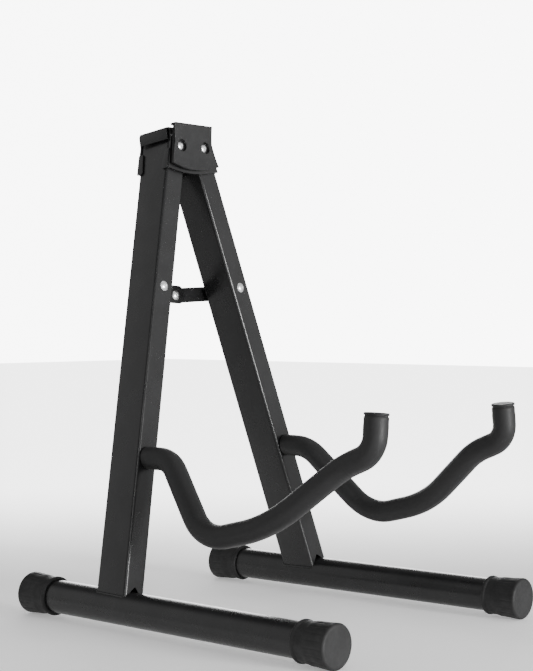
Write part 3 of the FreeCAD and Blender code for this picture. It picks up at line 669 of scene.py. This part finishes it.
# heights up the leaning plane, then the plates' half width above the shoulder and the roof's bend
TOP, SHOULDER, WAIST, SKIRT_END, SKIRT_LOW = 392.0, 380, 377, 356.5, 352.6
PLATE_HALF, BEND_R = 24.0, 2.6
FLANGE_OUT, FLANGE_DROP, FLANGE_SHEET, FLANGE_BEND, FLANGE_SETBACK = 26.0, 10.6, 1.0, 2.0, 0.5
# how far from the leg's axis a lug starts and ends, forward or back, and its heights up the leg
LUG_NEAR, LUG_FAR, LUG_LOW, LUG_HIGH = 11.4, PLATE_OUT - 0.6, 365.6, 384
LUG_ROUND, LUG_SHEET = 2.5, 1.2


def skirt_half_width(height):
    """Half width at which a plate's slanted edge runs along the legs' outer faces."""
    splay = math.radians(SPLAY)
    return PIN_X - (height - PIN_Z) * math.tan(splay) + LEG_HALF_WIDTH / math.cos(splay)


def plate_outline():
    """The front or rear plate seen from the front, up to where the roof's bend begins."""
    flare, at_waist, top = skirt_half_width(SKIRT_END), skirt_half_width(WAIST), TOP - BEND_R
    left = [(-PLATE_HALF, top), (-PLATE_HALF, SHOULDER), (-at_waist, WAIST)]
    low = three_point_arc((-flare, SKIRT_END), (0, SKIRT_LOW), (flare, SKIRT_END), steps=36)
    return left + low + [(-x, z) for x, z in left[::-1]]


def bent_sheet(half_span, top, drop, thickness, radius):
    """The closed section of a strip that is folded down at both ends: (across, up) pairs."""
    outer = [(-half_span, top - drop)] + arc((radius - half_span, top - radius), radius, 180, 90, 6)
    outer += [(-a, z) for a, z in outer[::-1]]
    small = radius - thickness
    inner = [(thickness - half_span, top - drop)]
    inner += arc((radius - half_span, top - radius), small, 180, 90, 6)
    inner += [(-a, z) for a, z in inner[::-1]]
    return outer + inner[::-1]


def bracket_piece():
    """Front and rear plates under a folded roof, with a flange down each side and four lugs."""
    shell = Shell()
    shell.plate(plate_outline(), -PLATE_OUT, -PLATE_IN, LEAN)
    shell.plate(plate_outline(), PLATE_IN, PLATE_OUT, LEAN)
    fold = bent_sheet(PLATE_OUT, TOP, BEND_R + 0.2, PLATE_SHEET, BEND_R)
    shell.loft([[(x, y, z) for y, z in fold] for x in (-PLATE_HALF, PLATE_HALF)], LEAN)
    flanges = bent_sheet(FLANGE_OUT, TOP - 0.02, FLANGE_DROP, FLANGE_SHEET, FLANGE_BEND)
    end = LEG_HALF_DEPTH - FLANGE_SETBACK
    shell.loft([[(x, y, z) for x, z in flanges] for y in (-end, end)], LEAN)
    for side in (-1, 1):
        for sign in (-1, 1):
            lug(shell, side, sign)
    build("hinge_bracket_shell", shell, COAT, "hinge", "hinge_bracket",
          bevel=0.45)


def lug(shell, side, sign):
    """A stop lug with rounded corners, folded from a plate over the leg's outer face."""
    corner = LUG_NEAR + LUG_ROUND, LUG_LOW + LUG_ROUND
    outline = [(LUG_FAR, LUG_HIGH), (LUG_NEAR + 1.5, LUG_HIGH)] + arc(corner, LUG_ROUND, 180, 270, 6)
    outline += [(LUG_FAR, LUG_LOW + 0.6)]
    face = LEG_HALF_WIDTH + FACE_GAP
    rings = [[(side * x, sign * y, z) for y, z in outline] for x in (face, face + LUG_SHEET)]
    shell.loft(rings, leg_frame(side))


# the bumper's heights up the leaning plane, and its half widths at those heights
BUMPER_TOP, BUMPER_WAIST, BUMPER_LOW_SIDE, BUMPER_LOW_MIDDLE = 394.6, 379, 359.6, 354.9
BUMPER_TOP_HALF, BUMPER_WAIST_HALF, BUMPER_LOW_HALF = 23.0, 22.8, 28.3
# how far its face stands off the bracket at the top, at the rivets and along the bottom
TOP_STAND, MIDDLE_STAND, LOW_STAND = 6, 3.6, 4.5
BUMPER_WALL, LIP_THICKNESS, LIP_GAP, BUMPER_STATIONS = 2.6, 1.9, 0.5, 36
WELL_R, BOSS_R, BOSS_HEIGHT, BOSS_SEAT, BOSS_BORE = 5.2, 6.8, 3, 0.8, 3.05


def bumper_half_width(share):
    """Half width at a share of the height: straight down to the waist, then flared."""
    waist = (BUMPER_WAIST - BUMPER_LOW_SIDE) / (BUMPER_TOP - BUMPER_LOW_SIDE)
    if share > waist:
        rise = (share - waist) / (1 - waist)
        return BUMPER_WAIST_HALF + (BUMPER_TOP_HALF - BUMPER_WAIST_HALF) * rise
    return BUMPER_LOW_HALF - (BUMPER_LOW_HALF - BUMPER_WAIST_HALF) * share / waist


def bumper_section():
    """The bumper's wall from the side, as (depth, share of height) pairs round a closed loop."""
    tall = BUMPER_TOP - BUMPER_LOW_SIDE
    hollow = three_point_arc((-PLATE_OUT - LOW_STAND, 0),
                             (-PLATE_OUT - MIDDLE_STAND, PIN_Z - BUMPER_LOW_SIDE),
                             (-PLATE_OUT - TOP_STAND, tall), 26)
    front = [(y, z / tall) for y, z in hollow]
    back = [(y + BUMPER_WALL, share) for y, share in front]
    lip, lip_end = 1 - LIP_THICKNESS / tall, -PLATE_OUT - LIP_GAP
    loop = front + [(BUMPER_WALL - PLATE_OUT - TOP_STAND, 1.0), (lip_end, 1.0), (lip_end, lip)]
    return loop + [(y, share) for y, share in back[::-1] if share < lip]


def bumper_piece():
    """The bumper's hollowed shell with two wells, and the bosses that stand in them."""
    section = bumper_section()
    rings = []
    for i in range(BUMPER_STATIONS + 1):
        across = 2 * i / BUMPER_STATIONS - 1
        low = BUMPER_LOW_MIDDLE + (BUMPER_LOW_SIDE - BUMPER_LOW_MIDDLE) * across ** 2
        rings.append([(across * bumper_half_width(share), depth, low + share * (BUMPER_TOP - low))
                      for depth, share in section])
    wells, bosses = [], Shell()
    ring = [(WELL_R, BOSS_SEAT), (WELL_R, BOSS_HEIGHT), (BOSS_R, BOSS_HEIGHT), (BOSS_R, 0),
            (BOSS_BORE, 0), (BOSS_BORE, BOSS_SEAT)]
    for side in (-1, 1):
        place = LEAN @ shift(side * PIN_X, -PLATE_OUT, PIN_Z) @ turn("X", 90)
        wells.append(Shell().lathe([(WELL_R, 0.2), (WELL_R, 20)], place, around=48))
        bosses.lathe(ring, place, around=48, loop=True)
    build("hinge_bumper_shell", Shell().loft(rings, LEAN), BUMPER_PLASTIC, "hinge", "hinge_bumper",
          bevel=0.5, cutters=wells)
    build("bumper_bosses", bosses, BUMPER_PLASTIC, "hinge", None)


# ---------------------------------------------------------------- rivets and toggle link

HEAD_R, HEAD_RISE, MARK_DEPTH = 4.2, 1.8, 0.22
HINGE_SHANK_R, LINK_SHANK_R = 3.0, 2.5
# radius and height of a rivet head's outline, from the set mark in its middle out to the brim
RIVET_DOME = [(0.15, HEAD_RISE - MARK_DEPTH), (0.55, HEAD_RISE - 0.2), (0.95, HEAD_RISE - 0.03),
              (1.4, HEAD_RISE - 0.06), (2.2, HEAD_RISE - 0.3), (3.0, HEAD_RISE - 0.68),
              (3.55, HEAD_RISE - 1.05), (3.9, 0.45), (4.12, 0.3), (HEAD_R, 0.12), (HEAD_R, 0.0)]


def rivet(name, place, front, rear, shank, body, front_head=True, rear_head=True):
    """A domed rivet with a thin brim and a small set mark, along the frame's Y."""
    middle = RIVET_DOME[0][0]
    profile = [(r, front - h) for r, h in RIVET_DOME] if front_head else [(middle, front)]
    profile += [(shank, front), (shank, rear)]
    profile += [(r, rear + h) for r, h in RIVET_DOME[::-1]] if rear_head else [(middle, rear)]
    build(name + "_metal", Shell().lathe(profile, place @ turn("X", -90), around=56), ZINC, body,
          name)


STRAP, STRAP_GAP = 2.0, 0.2
FRONT_STRAP = LEG_HALF_DEPTH + STRAP_GAP
REAR_STRAP = FRONT_STRAP + STRAP + STRAP_GAP
LEFT_HALF, RIGHT_HALF, LEFT_OVERRUN, RIGHT_OVERRUN = 6.9, 6.5, 5.6, 0.5
TAB_FROM, TAB_LOW, TAB_TOP = 3.2, 7.4, 8.8
# how far a strap's end bulges, as a share of its half height
STRAP_BULGE = 0.85


def near_end(toward, half):
    """A strap's rounded end round the leg's pin."""
    return three_point_arc((0, half), (-toward * half * STRAP_BULGE, 0), (0, -half), 18)


def left_strap():
    """The strap in front, raised at its far end, where a tab folds back over the other strap."""
    centre, far = LINK_LENGTH, LINK_LENGTH + LEFT_OVERRUN
    bulge = far + LEFT_HALF * STRAP_BULGE, (TAB_TOP - LEFT_HALF) / 2
    outline = near_end(1, LEFT_HALF)
    outline += three_point_arc((far, -LEFT_HALF), bulge, (far, TAB_TOP), 22)
    outline += [(centre - 5.2, TAB_TOP), (centre - 6.0, TAB_TOP - 0.3),
                (centre - 7.3, LEFT_HALF + 0.2), (centre - 8.2, LEFT_HALF)]
    back = FRONT_STRAP + STRAP
    shell = Shell().plate(outline, FRONT_STRAP, back, strap_frame(-1))
    near = centre + TAB_FROM
    tab = [(near, TAB_LOW), (near, TAB_TOP), (far, TAB_TOP), (far, TAB_LOW)]
    shell.plate(tab, back - 0.4, REAR_STRAP + STRAP, strap_frame(-1))
    build("left_strap_shell", shell, COAT, "left_link", "left_link_strap",
          bevel=0.4)


def right_strap():
    """The plain strap behind, round at both ends."""
    far = -(LINK_LENGTH + RIGHT_OVERRUN)
    bulge = far - RIGHT_HALF * STRAP_BULGE, 0
    outline = near_end(-1, RIGHT_HALF)
    outline += three_point_arc((far, -RIGHT_HALF), bulge, (far, RIGHT_HALF), 18)
    shell = Shell().plate(outline, REAR_STRAP, REAR_STRAP + STRAP, strap_frame(1))
    build("right_strap_shell", shell, COAT, "right_link", "right_link_strap",
          bevel=0.4)


def link_rivets():
    """A rivet through each leg, and the two halves of the one that joins the straps."""
    for name, side, strap in (("left", -1, FRONT_STRAP), ("right", 1, REAR_STRAP)):
        rivet(name + "_link_rivet", leg_frame(side) @ shift(0, 0, LINK_ALONG), -LEG_HALF_DEPTH,
              strap + STRAP + FACE_GAP, LINK_SHANK_R, name + "_leg")
    centre = strap_frame(-1) @ shift(LINK_LENGTH, 0, 0)
    rivet("centre_rivet_front", centre, FRONT_STRAP, FRONT_STRAP + STRAP, LINK_SHANK_R, "left_link",
          rear_head=False)
    rivet("centre_rivet_rear", centre, REAR_STRAP, REAR_STRAP + STRAP, LINK_SHANK_R, "right_link",
          front_head=False)


def hinge_rivets():
    """A rivet through each leg's top, its front head seated in the bumper's boss."""
    for name, side in (("left", -1), ("right", 1)):
        rivet(name + "_hinge_rivet", LEAN @ shift(side * PIN_X, 0, PIN_Z), -PLATE_OUT - BOSS_SEAT,
              PLATE_OUT, HINGE_SHANK_R, "hinge")


# ---------------------------------------------------------------- stage, light and camera

def make_floor():
    """A pale floor, 12 metres each way, that glows with a painted pool of light."""
    half = 6.0
    mesh = bpy.data.meshes.new("floor")
    mesh.from_pydata([(-half, -half, 0), (half, -half, 0), (half, half, 0), (-half, half, 0)], [],
                     [(0, 1, 2, 3)])
    mesh.materials.append(floor_with_painted_glow())
    floor = bpy.data.objects.new("floor", mesh)
    bpy.context.scene.collection.objects.link(floor)


def softbox(name, place, aim, width, height, power):
    """A rectangular lamp at a place, turned towards another. Metres and watts."""
    data = bpy.data.lights.new(name, "AREA")
    data.shape, data.size, data.size_y, data.energy = "RECTANGLE", width, height, power
    lamp = bpy.data.objects.new(name, data)
    lamp.location = place
    lamp.rotation_euler = (Vector(aim) - Vector(place)).to_track_quat("-Z", "Y").to_euler()
    bpy.context.scene.collection.objects.link(lamp)


# each part of the sky: a way, the cosines between which it grows, and its strength below and above
SKY_PARTS = [(VIEW_WAY, 0.89, 0.95, 0.0, 8.0), (CROSS_WAY, -0.7, 1.0, 0.1, 0.75),
             (PATCH_WAY, 0.7, 0.97, 0.0, 0.75)]


def make_sky():
    """A dim studio: bright backdrop beyond the stand, light to the right, a soft patch upper left."""
    world = bpy.data.worlds.new("studio")
    bpy.context.scene.world = world
    world.use_nodes = True
    tree = world.node_tree
    background = next(n for n in tree.nodes if n.type == "BACKGROUND")
    background.inputs["Color"].default_value = (1.0, 1.0, 1.0, 1)
    way = tree.nodes.new("ShaderNodeTexCoord").outputs["Generated"]
    total = None
    for axis, start, end, low, high in SKY_PARTS:
        dot = tree.nodes.new("ShaderNodeVectorMath")
        dot.operation = "DOT_PRODUCT"
        tree.links.new(way, dot.inputs[0])
        dot.inputs[1].default_value = axis
        fade = tree.nodes.new("ShaderNodeMapRange")
        fade.interpolation_type = "SMOOTHSTEP"
        for key, amount in (("From Min", start), ("From Max", end), ("To Min", low),
                            ("To Max", high)):
            fade.inputs[key].default_value = amount
        tree.links.new(dot.outputs["Value"], fade.inputs["Value"])
        added = tree.nodes.new("ShaderNodeMath")
        added.operation = "ADD"
        added.inputs[0].default_value = 0.0
        if total:
            tree.links.new(total, added.inputs[0])
        tree.links.new(fade.outputs["Result"], added.inputs[1])
        total = added.outputs["Value"]
    tree.links.new(total, background.inputs["Strength"])


def make_camera():
    """The camera that looks at the stand from its front left."""
    data = bpy.data.cameras.new("camera")
    data.lens, data.sensor_width = CAMERA_LENS, 36
    data.clip_start, data.clip_end = 0.05, 50
    camera = bpy.data.objects.new("camera", data)
    camera.location = CAMERA_PLACE
    camera.rotation_euler = (math.radians(90 + CAMERA_PITCH), 0, -math.radians(CAMERA_YAW))
    bpy.context.scene.collection.objects.link(camera)
    bpy.context.scene.camera = camera


for NAME, SIDE in (("left", -1), ("right", 1)):
    leg_piece(NAME, SIDE)
    foot_piece(NAME, SIDE)
    cap_piece(NAME, SIDE, "front")
    cap_piece(NAME, SIDE, "rear")
    arm_pieces(NAME, SIDE)
bracket_piece()
bumper_piece()
hinge_rivets()
left_strap()
right_strap()
link_rivets()
for NODE, MATERIAL in (("left_arm_rod", STEEL), ("right_arm_rod", STEEL), ("right_link_spacer", NYLON)):
    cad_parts[NODE].data.materials.clear()
    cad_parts[NODE].data.materials.append(MATERIAL)

make_floor()
make_sky()
softbox("front", (1.9, -1.7, 1.0), (0, 0, 0.2), 1.5, 1.5, 3)
softbox("top", (0.1, 0.0, 2.2), (0, 0, 0.2), 1.4, 1.4, 6)
softbox("edge", (-1.8, -1.5, 0.75), (0, 0, 0.2), 0.1, 1.5, 13)
softbox("rim", (0.15, -2.2, 0.3), (0, -0.1, 0.15), 0.4, 0.4, 60)
make_camera()
